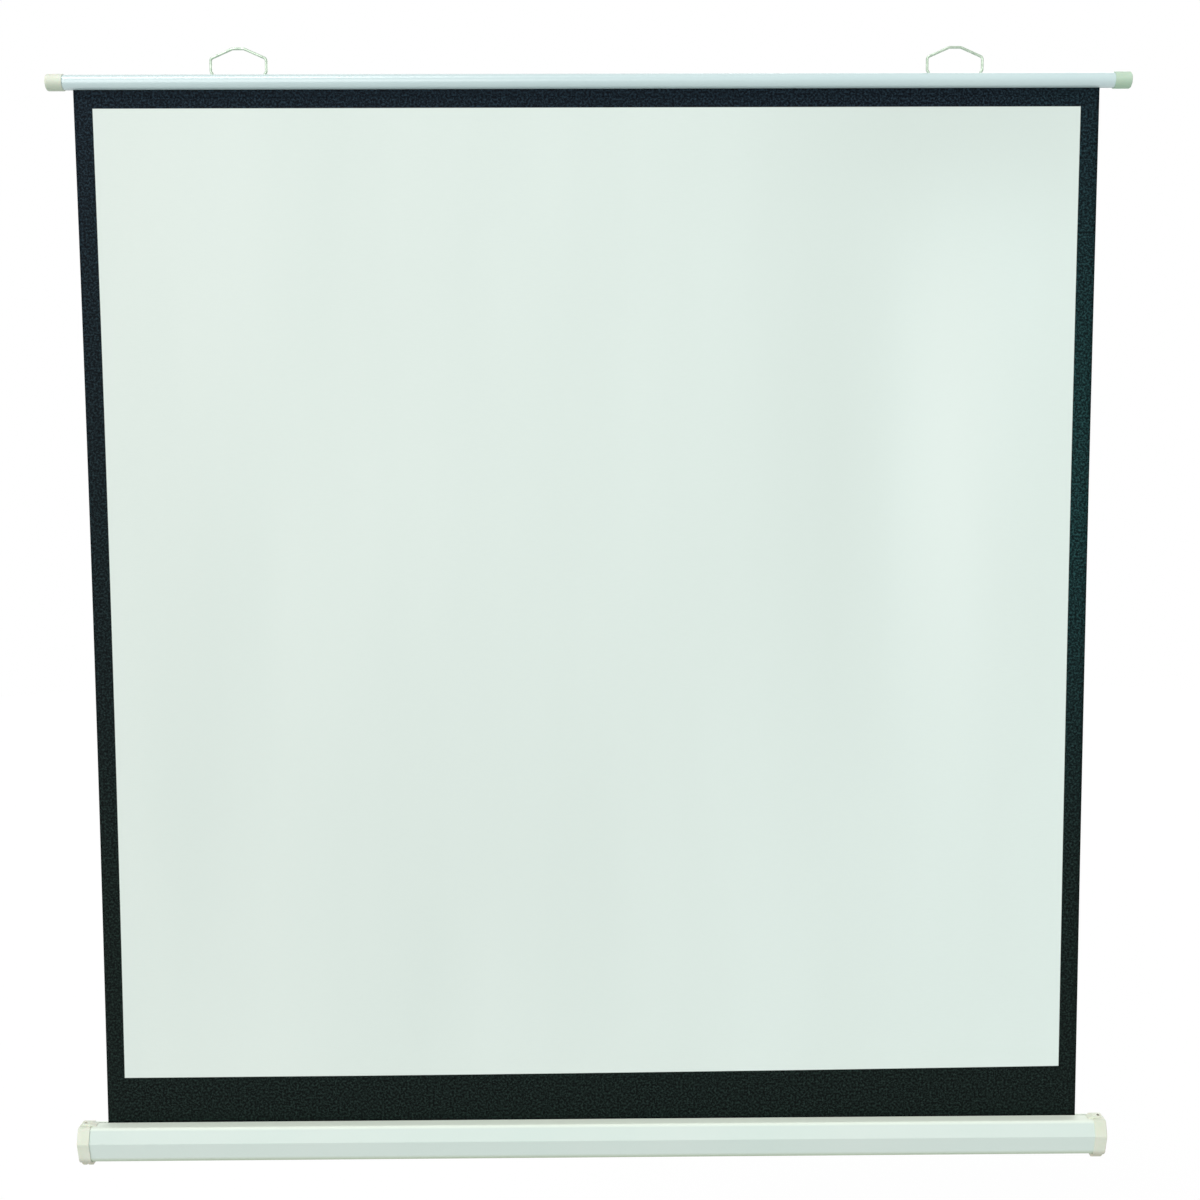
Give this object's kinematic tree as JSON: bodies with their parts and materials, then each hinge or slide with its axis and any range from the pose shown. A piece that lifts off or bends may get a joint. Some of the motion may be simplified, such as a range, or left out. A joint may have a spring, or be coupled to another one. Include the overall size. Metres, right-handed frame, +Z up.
{
  "type": "projection screen",
  "caption": "Hang-up roller projection screen: white sheet with a black border, slim top tube with wire bails, and a faceted steel case with its spring roller hanging below.",
  "frame": {"origin": "midway between the two bails, on the line where the hooks bear on the undersides of their wires", "axes": "+X along the tube and the case, to the right seen from the front; +Y to the back of the screen; +Z up"},
  "size_m": [1.6101, 0.0496, 1.7038],
  "materials": {
    "white_steel": "satin white enamel",
    "ivory_plastic": "satin moulded",
    "screen_cloth": "matt white face with a black border",
    "wire": "bright zinc plated wire",
    "bare_steel": "plain drawn",
    "dark_steel": "blackened",
    "dark_plastic": "moulded"
  },
  "bodies": {
    "top_bar": {"top_tube": "white_steel", "top_cap_left": "ivory_plastic", "top_cap_right": "ivory_plastic", "hem_rod": "bare_steel", "screen_fabric": "screen_cloth"},
    "bail_left": {"bail_left": "wire"},
    "bail_right": {"bail_right": "wire"},
    "case": {"case_shell": "white_steel", "case_cap_left": "ivory_plastic", "case_cap_right": "ivory_plastic", "cap_screws": "dark_steel", "blade_socket": "bare_steel", "pin_bush": "dark_plastic", "spindle": "bare_steel", "ratchet_wheel": "bare_steel", "torsion_spring": "dark_steel"},
    "roller": {"roller_tube": "bare_steel", "fabric_wraps": "screen_cloth", "idle_plug": "dark_plastic", "idle_pin": "bare_steel", "spring_head": "dark_plastic", "spring_anchor": "dark_plastic", "pawl_pins": "bare_steel"},
    "pawl_upper": {"pawl_upper": "bare_steel"},
    "pawl_lower": {"pawl_lower": "bare_steel"}
  },
  "joints": [
    {"name": "roll_up", "type": "slide", "parent": "top_bar", "child": "case", "axis": [0, 0, 1], "range_m": [0, 1.57], "deforming": ["screen_fabric"]},
    {"name": "roller_spin", "type": "hinge", "parent": "case", "child": "roller", "pos_m": [-0.01375, -0.008, -1.667], "axis": [1, 0, 0], "range_deg": [-5045, 5]},
    {"name": "bail_left_swing", "type": "hinge", "parent": "top_bar", "child": "bail_left", "pos_m": [-0.531, 0, -0.0355], "axis": [1, 0, 0], "range_deg": [-30, 30]},
    {"name": "bail_right_swing", "type": "hinge", "parent": "top_bar", "child": "bail_right", "pos_m": [0.531, 0, -0.0355], "axis": [1, 0, 0], "range_deg": [-30, 30]},
    {"name": "pawl_upper_swing", "type": "hinge", "parent": "roller", "child": "pawl_upper", "pos_m": [0.763, -0.017, -1.659], "axis": [1, 0, 0], "range_deg": [-18, 0]},
    {"name": "pawl_lower_swing", "type": "hinge", "parent": "roller", "child": "pawl_lower", "pos_m": [0.763, 0.001, -1.675], "axis": [1, 0, 0], "range_deg": [-18, 0]}
  ],
  "couplings": [
    {"joint": "roller_spin", "follows": "roll_up", "rad_per_m": -56.028}
  ]
}
